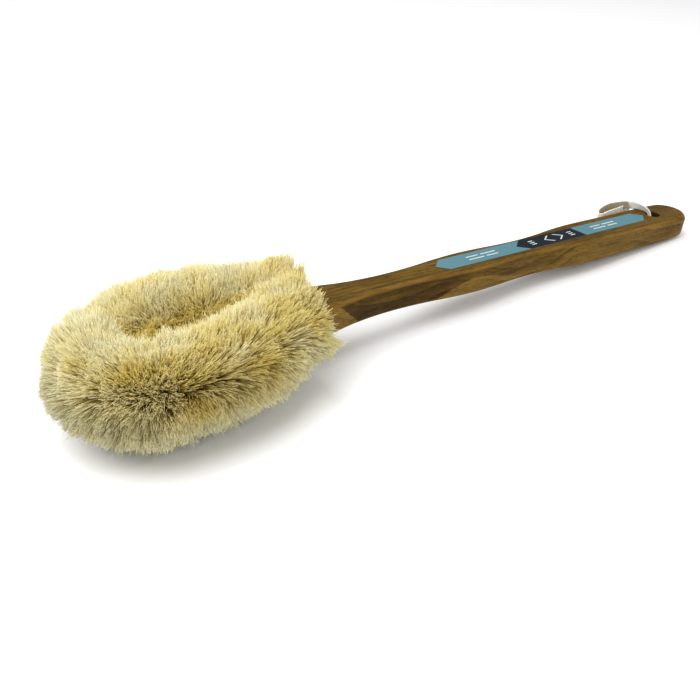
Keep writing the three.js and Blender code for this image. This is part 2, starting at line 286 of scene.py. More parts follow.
def wood_material():
    n = Nodes("handle_wood")
    coords = n.add("ShaderNodeTexCoord").outputs
    place = coords["Object"]
    axes = n.parts(place)
    grain = n.noise(n.scaled(place, (16, 480, 480)), 1.0, 4.0, 0.62)
    fine = n.noise(n.scaled(place, (260, 2000, 2000)), 1.0, 3.0, 0.6)
    cloud = n.noise(n.scaled(place, (30, 110, 110)), 1.0, 3.0, 0.6)
    slow = n.noise(n.scaled(place, (11, 40, 40)), 1.0, 2.0)
    # Growth rings stand nearly upright along the handle, and wander slowly.
    across = n.math("MULTIPLY_ADD", axes[2], RING_LEAN, axes[1])
    drift = n.math("MULTIPLY_ADD", slow, RING_WANDER, across)
    phase = n.math("FRACT", n.math("MULTIPLY", drift, GROWTH_RINGS_PER_METRE))
    ring = n.ramp(phase, [
        (0.0, grey(0.8)), (0.3, grey(0.62)), (0.75, grey(0.35)), (0.93, grey(0.15)),
        (1.0, grey(0.7)),
    ])
    # The sides are cut across one broad dark layer: it shows at the waist and ends in two tongues.
    depth = n.math("ABSOLUTE", axes[1])
    depth = n.math("MULTIPLY_ADD", axes[2], DARK_EDGE_LEAN, depth)
    depth = n.math("MULTIPLY_ADD", n.math("SUBTRACT", cloud, 0.5), DARK_EDGE_WANDER, depth)
    outer = n.rise(depth, *DARK_EDGE)
    normal = n.parts(coords["Normal"])
    upright = n.math("MULTIPLY", normal[2], normal[2])
    side = n.math("SUBTRACT", 1.0, upright, clamp=True)
    fading = n.rise(axes[0], *DARK_FADING, 1.0, 0.3)
    inner = n.math("SUBTRACT", 1.0, outer)
    dark_layer = n.math("MULTIPLY", n.math("MULTIPLY", inner, side), fading)
    tone = n.math("MULTIPLY_ADD", ring, 0.26, n.math("MULTIPLY", grain, 0.56))
    tone = n.math("MULTIPLY_ADD", cloud, 0.42, tone)
    tone = n.math("MULTIPLY_ADD", dark_layer, -0.30, tone)
    tone = n.math("MULTIPLY_ADD", side, 0.10, tone)
    early = n.rise(axes[0], *PALE_FADING, 1.0, 0.0)
    pale_layer = n.math("MULTIPLY", n.math("MULTIPLY", outer, side), early)
    tone = n.math("MULTIPLY_ADD", pale_layer, 0.10, tone)
    tone = n.math("SUBTRACT", tone, 0.10)
    colour = n.ramp(tone, WOOD_TONES)
    pores = n.ramp(fine, [
        (0.0, grey(0.18)), (0.38, grey(0.30)), (0.50, grey(0.95)), (1.0, grey(1.0)),
    ])
    colour = n.mix(0.65, colour, pores, "MULTIPLY")
    # The hole's wall is end grain, painted dark as the shade inside the hole.
    past_hole = n.math("SUBTRACT", axes[0], HOLE_X * MM)
    beside = n.math("MULTIPLY", axes[1], axes[1])
    from_hole = n.math("SQRT", n.math("MULTIPLY_ADD", past_hole, past_hole, beside))
    shade_start, shade_full = ((HOLE_RADIUS + reach) * MM for reach in HOLE_SHADE)
    painted_hole_shade = n.rise(from_hole, shade_start, shade_full, 0.0, HOLE_SHADE_SHARE)
    colour = n.mix(painted_hole_shade, colour, HOLE_SHADE_WOOD)
    # A painted highlight runs along the rounded edges, paler and warmer.
    edge = n.math("MULTIPLY", n.math("MULTIPLY", upright, side), 4.0)
    edge = n.math("MULTIPLY", edge, n.ramp(cloud, [(0.35, grey(0.15)), (0.65, grey(0.75))]))
    colour = n.mix(edge, colour, EDGE_HIGHLIGHT_WOOD)
    height = n.math("MULTIPLY_ADD", grain, 0.6, pores)
    rough = n.math("MULTIPLY_ADD", grain, 0.2, 0.42)
    bump = n.bump(height, 0.30, 0.00025)
    return n.set(Base_Color=colour, Roughness=rough, Normal=bump, Specular_IOR_Level=0.06)


# A strand's UV lies in one column, and runs up it along the strand. Each tone has its own columns.
TONES = 8
COLUMNS = 64
PALE_TONE = 0.4
# Each ramp runs from root to tip; its darkening towards the root is painted shade deep in the rope.
UNDERSIDE_SHADE_FIBRE = [
    (0.0, (0.27, 0.185, 0.034)), (0.45, (0.45, 0.365, 0.135)), (0.78, (0.60, 0.545, 0.29)),
    (1.0, (0.68, 0.66, 0.45)),
]
PALE_FIBRE = [
    (0.0, (0.36, 0.24, 0.040)), (0.45, (0.62, 0.50, 0.165)), (0.78, (0.80, 0.72, 0.38)),
    (1.0, (0.88, 0.86, 0.61)),
]
GOLDEN_FIBRE = [
    (0.0, (0.22, 0.130, 0.012)), (0.45, (0.52, 0.365, 0.045)), (0.78, (0.70, 0.565, 0.14)),
    (1.0, (0.86, 0.75, 0.28)),
]
STRAND_SHADES = [
    (0.0, (0.60, 0.51, 0.34)), (0.12, (0.86, 0.80, 0.65)), (0.5, (0.97, 0.94, 0.86)),
    (1.0, (1.0, 1.0, 1.0)),
]


def fibre_material():
    """Fibre in tones from dim through pale to golden, each strand with its own shade. The dim tone
    is painted shade for the underside, and every tone darkens towards the root as painted shade.
    """
    n = Nodes("plant_fibre")
    uv = n.add("ShaderNodeUVMap", {"uv_map": UV_NAME}).outputs[0]
    axes = n.parts(uv)
    column = n.math("FLOOR", n.math("MULTIPLY", axes[0], float(COLUMNS)))
    chance = n.add("ShaderNodeTexWhiteNoise", {"noise_dimensions": "1D"}, W=column).outputs[0]
    middle = n.math("ADD", column, 0.5)
    tone = n.math("FLOOR", n.math("DIVIDE", middle, float(COLUMNS // TONES)))
    tone = n.math("DIVIDE", tone, TONES - 1.0)
    fibres = (UNDERSIDE_SHADE_FIBRE, PALE_FIBRE, GOLDEN_FIBRE)
    under_shade, pale, golden = (n.ramp(axes[1], stops) for stops in fibres)
    along = n.mix(n.rise(tone, 0.0, PALE_TONE), under_shade, pale)
    along = n.mix(n.rise(tone, PALE_TONE, 1.0), along, golden)
    colour = n.mix(1.0, along, n.ramp(chance, STRAND_SHADES), "MULTIPLY")
    return n.set(Base_Color=colour, Roughness=0.6, Specular_IOR_Level=0.3)


def print_material(name, colour, worn):
    """Ink or film with faint mottling."""
    n = Nodes(name)
    place = n.add("ShaderNodeTexCoord").outputs["Object"]
    mottle = n.noise(n.scaled(place, (500, 500, 500)), 1.0, 4.0, 0.7)
    cloud = n.noise(n.scaled(place, (40, 90, 90)), 1.0, 2.0)
    both = n.math("MULTIPLY_ADD", mottle, 0.6, n.math("MULTIPLY", cloud, 0.4))
    shade = n.ramp(both, [(0.25, worn), (0.75, colour)])
    rough = n.math("MULTIPLY_ADD", mottle, 0.2, 0.42)
    bump = n.bump(both, 0.1, 0.0001)
    return n.set(Base_Color=shade, Roughness=rough, Normal=bump, Specular_IOR_Level=0.1)


def steel_material():
    n = Nodes("stem_steel")
    place = n.add("ShaderNodeTexCoord").outputs["Object"]
    spangle = n.add("ShaderNodeTexVoronoi", Vector=place, Scale=900.0).outputs["Distance"]
    cloud = n.noise(place, 300.0, 4.0)
    shade = n.ramp(n.math("MULTIPLY_ADD", spangle, 0.5, n.math("MULTIPLY", cloud, 0.6)), [
        (0.1, (0.36, 0.36, 0.35)), (0.8, (0.68, 0.68, 0.66)),
    ])
    rough = n.math("MULTIPLY_ADD", cloud, 0.3, 0.22)
    return n.set(Base_Color=shade, Metallic=1.0, Roughness=rough, Normal=n.bump(cloud, 0.2, 0.0001))


TAPE_WEFTS = 150
TAPE_WARPS = 22
# Where the inner side ends round the strip, and where along the loop its painted shade ends.
INNER_SIDE_END = (0.46, 0.50)
SHADE_END_ALONG = (0.215, 0.200)


def tape_material():
    """Cotton tape: a twill whose ribs and threads follow the strip."""
    n = Nodes("cotton_tape")
    uv = n.add("ShaderNodeUVMap", {"uv_map": UV_NAME}).outputs[0]
    axes = n.parts(uv)
    weft = n.math("SINE", n.math("MULTIPLY", axes[0], FULL_TURN * TAPE_WEFTS))
    warp = n.math("SINE", n.math("MULTIPLY", axes[1], FULL_TURN * TAPE_WARPS))
    weave = n.math("MULTIPLY", weft, warp)
    fuzz = n.noise(n.scaled(uv, (190, 60, 1)), 1.0, 4.0, 0.7)
    height = n.math("MULTIPLY_ADD", weave, 0.5, fuzz)
    white = n.ramp(height, [
        (0.0, (0.42, 0.37, 0.27)), (0.28, (0.68, 0.64, 0.53)), (0.6, (0.86, 0.84, 0.77)),
        (1.0, (0.93, 0.91, 0.86)),
    ])
    # A shaded copy of the tape's colour: painted shade for the loop's inner side.
    shaded_khaki = n.ramp(height, [(0.1, (0.20, 0.155, 0.085)), (0.8, (0.42, 0.36, 0.24))])
    outer = n.rise(axes[1], *INNER_SIDE_END)
    # The inner side is painted khaki as the shade inside the loop, but not on its way out of the
    # hole.
    aslant = n.math("MULTIPLY_ADD", axes[1], 0.05, axes[0])
    unshaded = n.rise(aslant, *SHADE_END_ALONG)
    colour = n.mix(n.math("MAXIMUM", outer, unshaded), shaded_khaki, white)
    bump = n.bump(height, 0.5, 0.00025)
    return n.set(Base_Color=colour, Roughness=0.9, Normal=bump, Sheen_Weight=0.3)


def floor_material():
    n = Nodes("floor")
    place = n.add("ShaderNodeTexCoord").outputs["Object"]
    cloud = n.noise(place, 3.0, 3.0)
    return n.set(Base_Color=n.ramp(cloud, [(0.3, grey(0.95)), (0.7, grey(0.965))]), Roughness=0.9)


def finish_piece(piece, material, body, replaced):
    piece.data.materials.clear()
    piece.data.materials.append(material)
    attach(piece, body)
    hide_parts(replaced)


# ---------------------------------------------------------------- hang tape
TAPE_WIDTH = 5.0
TAPE_THICKNESS = 0.8
TAPE_EDGE = 0.3
TAPE_FLATS = 9
TAPE_STEPS = 10
SELVEDGE_STEP = 0.9
SELVEDGE_DEPTH = 0.012
# The tape's middle line in metres from the middle of the hole, then the way its width lies, and
# the share of its width that it has there.
TAPE_ROUTE = [
    (-0.0022, 0.0000, 0.0005, 0, -1, 0, 0.44),
    (-0.0022, 0.0000, 0.0040, 0, -1, 0, 0.44),
    (-0.0023, 0.0004, 0.0068, 0, -1, 0.25, 0.46),
    (-0.0031, 0.0022, 0.0091, -0.15, -0.75, 0.8, 0.58),
    (-0.0043, 0.0054, 0.0101, -0.25, -0.3, 1, 0.78),
    (-0.0060, 0.0098, 0.0102, -0.1, -0.1, 1, 0.96),
    (-0.0082, 0.0144, 0.0092, 0, -0.05, 1, 1),
    (-0.0118, 0.0184, 0.0078, 0, 0, 1, 1),
    (-0.0168, 0.0211, 0.0064, 0, 0, 1, 1),
    (-0.0228, 0.0210, 0.0050, 0, 0, 1, 1),
    (-0.0266, 0.0198, 0.0038, 0, 0, 1, 1),
    (-0.0279, 0.0180, 0.0032, 0, 0, 1, 1),
    (-0.0267, 0.0163, 0.0035, 0, 0, 1, 1),
    (-0.0228, 0.0156, 0.0049, 0, 0, 1, 1),
    (-0.0165, 0.0154, 0.0056, 0, 0, 1, 1),
    (-0.0100, 0.0157, 0.0060, 0, 0, 1, 1),
    (-0.0050, 0.0168, 0.0053, 0.2, 0, 1, 1),
    (-0.0012, 0.0181, 0.0028, 0.7, 0, 0.75, 1),
    (0.0010, 0.0188, -0.0012, 1, 0, 0.2, 1),
    (0.0018, 0.0182, -0.0052, 1, 0, 0, 1),
    (0.0018, 0.0154, -0.0077, 1, 0, 0, 1),
    (0.0012, 0.0114, -0.0082, 1, 0, 0, 1),
    (0.0005, 0.0074, -0.0082, 1, 0, 0, 1),
    (0.0001, 0.0043, -0.0079, 1, 0, 0, 0.95),
    (0.0000, 0.0025, -0.0056, 1, 0, 0, 0.9),
    (0.0000, 0.0022, -0.0020, 1, 0, 0, 0.9),
]


def hang_tape():
    rows = np.array(TAPE_ROUTE)
    rows[:, 3:6] = unit(rows[:, 3:6])
    line = through(rows, TAPE_STEPS)
    middle, share = line[:, :3], line[:, 6]
    along = unit(np.gradient(middle, axis=0))
    wide = line[:, 3:6]
    wide = unit(wide - along * (wide * along).sum(1, keepdims=True))
    thick = np.cross(along, wide)
    half_w, half_t = TAPE_WIDTH / 2 * MM, TAPE_THICKNESS / 2 * MM
    flats = np.linspace(-1, 1, TAPE_FLATS) * (half_w - TAPE_EDGE * MM)
    lower = [(half_w, 0.0), *((w, -half_t) for w in flats[::-1])]
    upper = [(-half_w, 0.0), *((w, half_t) for w in flats)]
    section = lower + upper
    rings, count = len(middle), len(section)
    distance = travelled(middle)
    verts = []
    for i in range(rings):
        # The selvedge's loops make the edges faintly scalloped.
        scallop = 1 + SELVEDGE_DEPTH * math.sin(distance[i] / (SELVEDGE_STEP * MM) * FULL_TURN)
        for w, t in section:
            verts.append(middle[i] + wide[i] * w * share[i] * scallop + thick[i] * t)
    tape = add_mesh("hang_tape_cotton", verts, tube_faces(rings, count))
    corners = [
        [(i, j), (i, j + 1), (i + 1, j + 1), (i + 1, j)]
        for i in range(rings - 1) for j in range(count)
    ]
    corners += [[(0, j) for j in range(count)][::-1], [(rings - 1, j) for j in range(count)]]
    uv = [(distance[i] / distance[-1], j / count) for face in corners for i, j in face]
    tape.data.uv_layers.new(name=UV_NAME).data.foreach_set("uv", np.array(uv).ravel())
    tape.data.transform(HOLE_FRAME)
    finish_piece(tape, tape_material(), HANG_LOOP, "hang_tape")


hang_tape()


# ---------------------------------------------------------------- handle
SIDE_STEPS = 12
CORNER_POINTS = 9
TAIL_POINTS = 22
EASE_STEPS = 7
FACE_MARGIN = 0.12
HOLE_SIDES = 64
BORE_SIDES = 32
SHARP_ANGLE = 40
TAIL_EASE = 1.6
OVERSHOOT = 1


def handle_outline():
    """The handle's outline from above in millimetres, anticlockwise."""
    near = [(x, -half) for x, half in HALF_WIDTHS]
    start = (HEAD_CORNER, -HEAD_HALF_WIDTH)
    tail_x = HANDLE_LENGTH - TAIL_RADIUS
    side = through(np.array([start, *near, (tail_x, -TAIL_RADIUS)]), SIDE_STEPS)
    r = HEAD_CORNER
    corner = [
        (r - r * math.cos(a), -HEAD_HALF_WIDTH + r - r * math.sin(a))
        for a in np.linspace(0, math.pi / 2, CORNER_POINTS)[:-1]
    ]
    tail = [
        (tail_x + TAIL_RADIUS * math.sin(a), -TAIL_RADIUS * math.cos(a))
        for a in np.linspace(0, math.pi / 2, TAIL_POINTS)[1:]
    ]
    half = np.array([*corner, *side, *tail])
    other = half[::-1][1:] * [1, -1]
    return np.vstack([half, other])


def inset(outline, distance):
    """The outline moved inwards by a distance, or by one for each of its points."""
    ahead = np.roll(outline, -1, axis=0) - outline
    behind = outline - np.roll(outline, 1, axis=0)
    way = unit(unit(ahead) + unit(behind))
    return outline + leftwards(way) * np.reshape(distance, (-1, 1))


def boolean_cut(piece, cutters):
    for cutter in cutters:
        cut = piece.modifiers.new("cut", "BOOLEAN")
        cut.operation = "DIFFERENCE"
        cut.solver = "EXACT"
        cut.object = cutter
    bpy.context.view_layer.update()
    depsgraph = bpy.context.evaluated_depsgraph_get()
    made = bpy.data.meshes.new_from_object(piece.evaluated_get(depsgraph))
    piece.modifiers.clear()
    piece.data = made
    for cutter in cutters:
        bpy.data.objects.remove(cutter, do_unlink=True)


def lathe(name, profile, sides, turn):
    """A closed turned solid about z, from (radius, height) pairs in millimetres, moved by turn."""
    verts = []
    for radius, height in profile:
        for k in range(sides):
            a = FULL_TURN * k / sides
            verts.append((radius * math.cos(a) * MM, radius * math.sin(a) * MM, height * MM))
    made = add_mesh(name, verts, tube_faces(len(profile), sides))
    made.data.transform(turn)
    return made


def handle():
    outline = handle_outline()
    half = HANDLE_THICKNESS / 2
    # The edge is eased more round the tail than along the sides.
    into_tail = outline[:, 0] - (HANDLE_LENGTH - 2 * TAIL_RADIUS)
    tail = np.clip(into_tail / (TAIL_EASE * TAIL_RADIUS), 0, 1)
    ease = EDGE_ROUND + (TAIL_EDGE_ROUND - EDGE_ROUND) * tail ** 2 * (3 - 2 * tail)
    arc = [k * math.pi / (2 * EASE_STEPS) for k in range(EASE_STEPS + 1)]
    rings = [(ease + FACE_MARGIN, np.full_like(ease, -half))]
    rings += [(ease * (1 - math.sin(a)), -half + ease * (1 - math.cos(a))) for a in arc]
    rings += [(gap, -z) for gap, z in reversed(rings)]
    verts = []
    for gap, z in rings:
        for (x, y), height in zip(inset(outline, gap), z):
            verts.append((x * MM, y * MM, height * MM))
    wood = add_mesh("handle_wood", verts, tube_faces(len(rings), len(outline)))
    rim = HOLE_RADIUS + HOLE_RIM
    eased = [
        (HOLE_RADIUS + HOLE_RIM * (1 - math.sin(a)), half - HOLE_RIM * (1 - math.cos(a)))
        for a in arc[::-1]
    ]
    profile = [(r, -z) for r, z in reversed(eased)] + eased
    profile = [(rim, -half - OVERSHOOT), *profile, (rim, half + OVERSHOOT)]
    at_hole = Matrix.Translation((HOLE_X * MM, 0, 0))
    cutters = [lathe("hole_cutter", profile, HOLE_SIDES, at_hole)]
    bore = [(BORE_RADIUS, -OVERSHOOT), (BORE_RADIUS, BORE_DEPTH)]
    lengthways = Matrix.Rotation(math.pi / 2, 4, "Y")
    for side in (1, -1):
        turn = Matrix.Translation((0, side * STEM_OFFSET * MM, 0)) @ lengthways
        cutters.append(lathe("bore_cutter", bore, BORE_SIDES, turn))
    boolean_cut(wood, cutters)
    wood.matrix_world = HANDLE_FRAME
    wood.data.polygons.foreach_set("use_smooth", [True] * len(wood.data.polygons))
    wood.data.set_sharp_from_angle(angle=math.radians(SHARP_ANGLE))
    finish_piece(wood, wood_material(), BRUSH, "handle")


handle()


# ---------------------------------------------------------------- grip label
LABEL_FILM = 0.10
INK = 0.03
GLUE = 0.01
HAIR_GAP = 0.005
LABEL_HALF = 5.65
LABEL_MIDDLE = 0.8
LABEL_START, LABEL_END, LABEL_ARROW = 78.0, 241.0, 5.8
FIELD_TIP, FIELD_START, FIELD_END_LOW, FIELD_END_HIGH = 134.7, 141.0, 184.7, 182.7
FIELD_MARGIN = 0.02
WORD_STARTS = (99.5, 195.0)
WORD_GAP = 1.8
WORD_HEIGHT = 0.9
# Each row of words: its lower edge from the label's middle, and the lengths of its two words.
WORD_ROWS = ((1.05, 8.2, 10.4), (-1.85, 10.4, 8.2))
DASH_STARTS = (145.0, 175.5)
DASH_LENGTH, DASH_STEP, DASH_HALF = 3.4, 1.9, 0.4
# Each arrowhead: where its point is, and which way it faces.
ARROWHEADS = ((156.0, -1), (171.0, 1))


def slabs(name, outlines, low, high):
    """Thin closed slabs between two heights over anticlockwise outlines, in the handle's axes."""
    verts, faces = [], []
    for outline in outlines:
        base, count = len(verts), len(outline)
        verts += [(x * MM, y * MM, low * MM) for x, y in outline]
        verts += [(x * MM, y * MM, high * MM) for x, y in outline]
        faces.append(tuple(range(base, base + count))[::-1])
        faces.append(tuple(range(base + count, base + 2 * count)))
        for k in range(count):
            m = (k + 1) % count
            faces.append((base + k, base + m, base + count + m, base + count + k))
    piece = add_mesh(name, verts, faces, smooth=False)
    piece.matrix_world = HANDLE_FRAME
    return piece


def bar(x0, x1, y0, y1):
    return [(x0, y0), (x1, y0), (x1, y1), (x0, y1)]


def chevron(x, y, way, reach=4.6, spread=3.5, thick=1.3):
    """An arrowhead stroke whose point is at x, y and faces along way."""
    tail = x - way * reach
    shape = [
        (x, y), (tail, y + spread), (tail - way * thick, y + spread), (x - way * thick, y),
        (tail - way * thick, y - spread), (tail, y - spread),
    ]
    return shape if way > 0 else shape[::-1]


def label_marks():
    mid = LABEL_MIDDLE
    marks = []
    # Plain bars stand where a label would carry its words.
    for start in WORD_STARTS:
        for low, first, second in WORD_ROWS:
            next_start = start + first + WORD_GAP
            marks.append(bar(start, start + first, mid + low, mid + low + WORD_HEIGHT))
            marks.append(bar(next_start, next_start + second, mid + low, mid + low + WORD_HEIGHT))
    for start in DASH_STARTS:
        for k in (-1, 0, 1):
            y = mid + DASH_STEP * k
            marks.append(bar(start, start + DASH_LENGTH, y - DASH_HALF, y + DASH_HALF))
    marks += [chevron(x, mid, way) for x, way in ARROWHEADS]
    return marks


def grip_label():
    film_low = HANDLE_THICKNESS / 2 + GLUE
    film_top = film_low + LABEL_FILM
    field_top = film_top + INK
    low, high = LABEL_MIDDLE - LABEL_HALF, LABEL_MIDDLE + LABEL_HALF
    start, end = LABEL_START + LABEL_ARROW, LABEL_END - LABEL_ARROW
    film = [
        (LABEL_START, LABEL_MIDDLE), (start, low), (end, low),
        (LABEL_END, LABEL_MIDDLE), (end, high), (start, high),
    ]
    field_low, field_high = low + FIELD_MARGIN, high - FIELD_MARGIN
    field = [
        (FIELD_TIP, LABEL_MIDDLE), (FIELD_START, field_low), (FIELD_END_LOW, field_low),
        (FIELD_END_HIGH, field_high), (FIELD_START, field_high),
    ]
    blue = print_material("label_film", (0.090, 0.205, 0.240), (0.076, 0.178, 0.212))
    dark = print_material("label_field", (0.007, 0.010, 0.016), (0.004, 0.007, 0.011))
    white = print_material("label_ink", (0.60, 0.63, 0.63), (0.42, 0.47, 0.48))
    ink_low = field_top + HAIR_GAP
    for name, outlines, bottom, top, material in (
        ("grip_label_film", [film], film_low, film_top, blue),
        ("grip_label_field", [field], film_top + HAIR_GAP, field_top, dark),
        ("grip_label_ink", label_marks(), ink_low, ink_low + INK, white),
    ):
        piece = slabs(name, outlines, bottom, top)
        finish_piece(piece, material, BRUSH, "grip_label")


grip_label()


# ---------------------------------------------------------------- stem wires
steel = steel_material()
for node in ("stem_wire_a", "stem_wire_b"):
    wire = frame["nodes"][node]
    wire.data.materials.clear()
    wire.data.materials.append(steel)


# ---------------------------------------------------------------- fibres
rng = np.random.default_rng(41)
STRANDS = 140000
PIECE_STRANDS = 9800
RINGS = 4
SIDES = 3
UV_MARGIN = 0.01
ROOT_RADIUS = 0.13
TIP_RADIUS = 0.08
FLOOR_GAP = 0.6
# How far along a strand its rings are, as shares of its length.
SHARES = np.linspace(0.1, 1, RINGS)[None, :, None]
HEEL_POINTS, RUN_POINTS, NOSE_POINTS = 120, 30, 160
GOLDEN_ANGLE = 2.399963
ANGLE_SCATTER = 0.12
THICKNESS_SCATTER = (0.8, 1.25)
NOSE_FILL = 1.7
NOSE_CROWDING = 0.28
WAVES = 10

# Lengths in millimetres, and the share of strands that stray from them.
CUT_SPARE = 0.2
CUT_SCATTER = 0.9
STRAY_SHARE = 0.010
STRAY_EXTRA = (0.5, 2.2)
SHORTEST = 14
TIP_DRIFT = 1.2

# Directions round the rope in degrees, as a middle and a spread: 0 is towards the loop's middle,
# 90 is up, 180 is outwards and 270 is down.
VALLEY = (54, 54)
VALLEY_WALL = (46, 42)
TOP = (85, 50)
CORNER = (125, 75)
SHOULDER = (135, 40)
OUTER_SIDE = (165, 24)
OUTER_UNDERSIDE = (222, 52)
# Where the underside's painted shade lies.
SHADED_UNDERSIDE = (225, 65)
EVEN_UNDERSIDE = (225, 75)
INNER_UNDERSIDE = (308, 38)
SLOT_WALL = (12, 44)
# Directions round the nose's middle in degrees, and places from the rope's ends in millimetres.
FAR_CORNER = (52, 42)
DARK_STRETCH = (63, 43)

# The shares of their length that strands lose. Each reach is in millimetres along the rope.
VALLEY_WEAR, VALLEY_WEAR_AT_NOSE, VALLEY_SPARED_AT_END = 0.27, 0.11, 0.55
NOSE_REACH, VALLEY_SPARED_REACH = 20, 10
INNER_WEAR = 0.20
OUTER_WEAR, OUTER_WEAR_AT_END = 0.14, 0.20
OUTER_WEAR_REACH = 32
CORNER_WEAR = 0.17
GROOVE_WEAR, GROOVE_REACH = 0.07, 3.0

# How far strands lean along the rope and bend round it, as shares of their length. The start and
# the reaches are in millimetres from the rope's ends.
LEAN_SCATTER, BEND_SCATTER = 0.13, 0.11
SWIRL_LEAN, SWIRL_BEND = 0.14, 0.07
SWIRL_START = 12
STIFFNESS_AT_END, STIFFNESS_REACH = 0.5, 6
FLOOR_PUSH = 0.24
TOP_PUSH_NEAR = 0.14
PUSH_REACH = 10
# Partings: where each one is, and then the most that strands part, how soon, and over what reach
# it fades. The side's are in degrees round the rope, and the top's in millimetres along it.
SIDE_PARTING, TOP_PARTING = 164, 21.5
SIDE_PARTING_WANDER = 9
SIDE_PARTING_BEND = (0.27, 8, 28)
TOP_PARTING_LEAN = (0.26, 2.5, 7.0)
# Fanning out at the rope's ends, in millimetres: for all strands, what the outer ones add, and its
# reach. Then its curve, as a power, and its unevenness, as a gamma distribution's shape and scale.
FAN, FAN_OUTER = 0.2, 1.8
FAN_REACH = 4.0
FAN_CURVE = 2.6
FAN_UNEVEN = (3.0, 0.33)
# Strands pressed together across the loop: the gap they leave, and how they give way.
PRESS_GAP, PRESS_GAP_SPREAD = 0.4, 2.2
PRESS_PAST = 0.1
PRESS_LIFT = 0.35
LIFT_SCATTER = 0.12
NOSE_PRESS = 0.9
# Tufts: how many, and the least and the most that a tuft's leader draws its strands in.
BROAD_TUFTS = (700, 0.02, 0.14)
FINE_TUFTS = (15000, 0.10, 0.40)
HANGING_TUFTS = (450, 0.10, 0.35)
# Where round the rope strands hang, in degrees, and how far a tuft reaches, in millimetres.
HANGING = (172, 280)
TUFT_REACH = 9.0

# Tones: 0 is the dim underside's, which is painted shade, PALE_TONE the pale one and 1 golden.
MIDDLE_TONE = 0.45
VALLEY_TONE = 0.50
# The near shoulder is more golden than the far one, partly as painted shade.
SHOULDER_TONE_FAR, SHOULDER_TONE_NEAR = 0.12, 0.42
UNDERSIDE_SHADE_TONE = -0.38
NOSE_TONE = -0.25
NOSE_TONE_START, NOSE_TONE_REACH = NOSE_X - 8, 30
PATCHES, PATCHES_LOST_BELOW = 0.16, 0.7
TONE_SCATTER = 0.10
# The shares of a strand's colours, from its tip, that stay unseen, so that its darker lower lengths
# show as painted shade in the parting, the slot and on the heel's top.
PARTING_SHADE, SLOT_SHADE, HEEL_SHADE = 0.34, 0.30, 0.16
HEEL_SHADE_REACH = 27


def core_line():
    """The rope's middle line in millimetres, from its far end at the handle to its near end."""
    t = np.linspace(0, 1, HEEL_POINTS)[:, None]
    pull = (HEEL_X - FLARE_X) * HEEL_PULL
    p0, p1 = np.array([HEEL_X, STEM_OFFSET]), np.array([HEEL_X - pull, STEM_OFFSET])
    p2, p3 = np.array([FLARE_X + pull, RUN_OFFSET]), np.array([FLARE_X, RUN_OFFSET])
    u = 1 - t
    heel = u ** 3 * p0 + 3 * u ** 2 * t * p1 + 3 * u * t ** 2 * p2 + t ** 3 * p3
    run = p3 + np.linspace(0, 1, RUN_POINTS)[1:, None] * np.array([NOSE_X - FLARE_X, 0])
    angle = np.linspace(math.pi / 2, 1.5 * math.pi, NOSE_POINTS)[1:, None]
    nose = np.array([NOSE_X, 0]) + RUN_OFFSET * np.hstack([np.cos(angle), np.sin(angle)])
    half = np.vstack([heel, run])
    return np.vstack([half, nose, half[::-1][1:] * [1, -1]])


LINE = core_line()
ARC = travelled(LINE)
CORE_LENGTH = ARC[-1]
TANGENT = unit(np.gradient(LINE, axis=0))
FAR_HALF_X = LINE[:len(LINE) // 2, 0]
FLARE_START = ARC[np.searchsorted(-FAR_HALF_X, -FLARE_X)]
NOSE_START = ARC[np.searchsorted(-FAR_HALF_X, -NOSE_X)]


def on_far_side(s):
    return s < CORE_LENGTH / 2


def in_nose(s):
    return (s > NOSE_START) & (s < CORE_LENGTH - NOSE_START)


def from_end(s):
    return np.minimum(s, CORE_LENGTH - s)


def level(points):
    """Points in the plane, as points in space at height zero."""
    return np.hstack([points, np.zeros((len(points), 1))])


def on_core(s):
    """Places on the rope's middle line, and its direction there."""
    place = np.stack([np.interp(s, ARC, LINE[:, k]) for k in (0, 1)], axis=1)
    way = np.stack([np.interp(s, ARC, TANGENT[:, k]) for k in (0, 1)], axis=1)
    return place, unit(way)


def smooth_noise(points, scale, seed):
    """Smooth values in about -1..1 for points in millimetres, from a few random waves."""
    waves = np.random.default_rng(seed)
    total = np.zeros(len(points))
    for _ in range(WAVES):
        k = waves.normal(size=3)
        k *= FULL_TURN / (scale * waves.uniform(0.7, 1.6)) / np.linalg.norm(k)
        total += np.sin(points @ k + waves.uniform(0, FULL_TURN))
    return total / math.sqrt(WAVES)


def decay(distance, reach):
    """One at no distance, and falling exponentially."""
    return np.exp(-distance / reach)


def fade(distance, reach):
    """One at no distance, and falling smoothly to nothing well beyond the reach."""
    return np.exp(-(distance / reach) ** 2)


def strand_lines(s, angle, length, lean, bend):
    """Middle lines of strands, as (strand, ring, xyz) in millimetres in the loop's axes."""
    place, way = on_core(s)
    root, along, side = (level(v)[:, None] for v in (place, way, leftwards(way)))
    up = np.array([0, 0, 1.0])
    cosine, sine, length, lean, bend = (
        v[:, None, None] for v in (np.cos(angle), np.sin(angle), length, lean, bend)
    )
    out = cosine * side + sine * up
    turn = -sine * side + cosine * up
    curve = length * SHARES ** 2
    lines = root + out * (length * SHARES) + along * curve * lean + turn * curve * bend
    # Ends of the rope fan out backwards over the wood's sides.
    outer = np.clip(-np.cos(angle), 0, 1) ** 3
    uneven = rng.gamma(*FAN_UNEVEN, len(s))
    fan = (FAN + FAN_OUTER * outer) * decay(from_end(s), FAN_REACH) * uneven
    lines[:, :, 0] += fan[:, None] * SHARES[:, :, 0] ** FAN_CURVE
    return lines


def window(value, middle, spread):
    """One at the middle, and falling smoothly to nothing at the spread to either side."""
    aside = np.clip(np.abs(value - middle) / spread, 0, 1)
    return np.cos(aside * math.pi / 2) ** 2


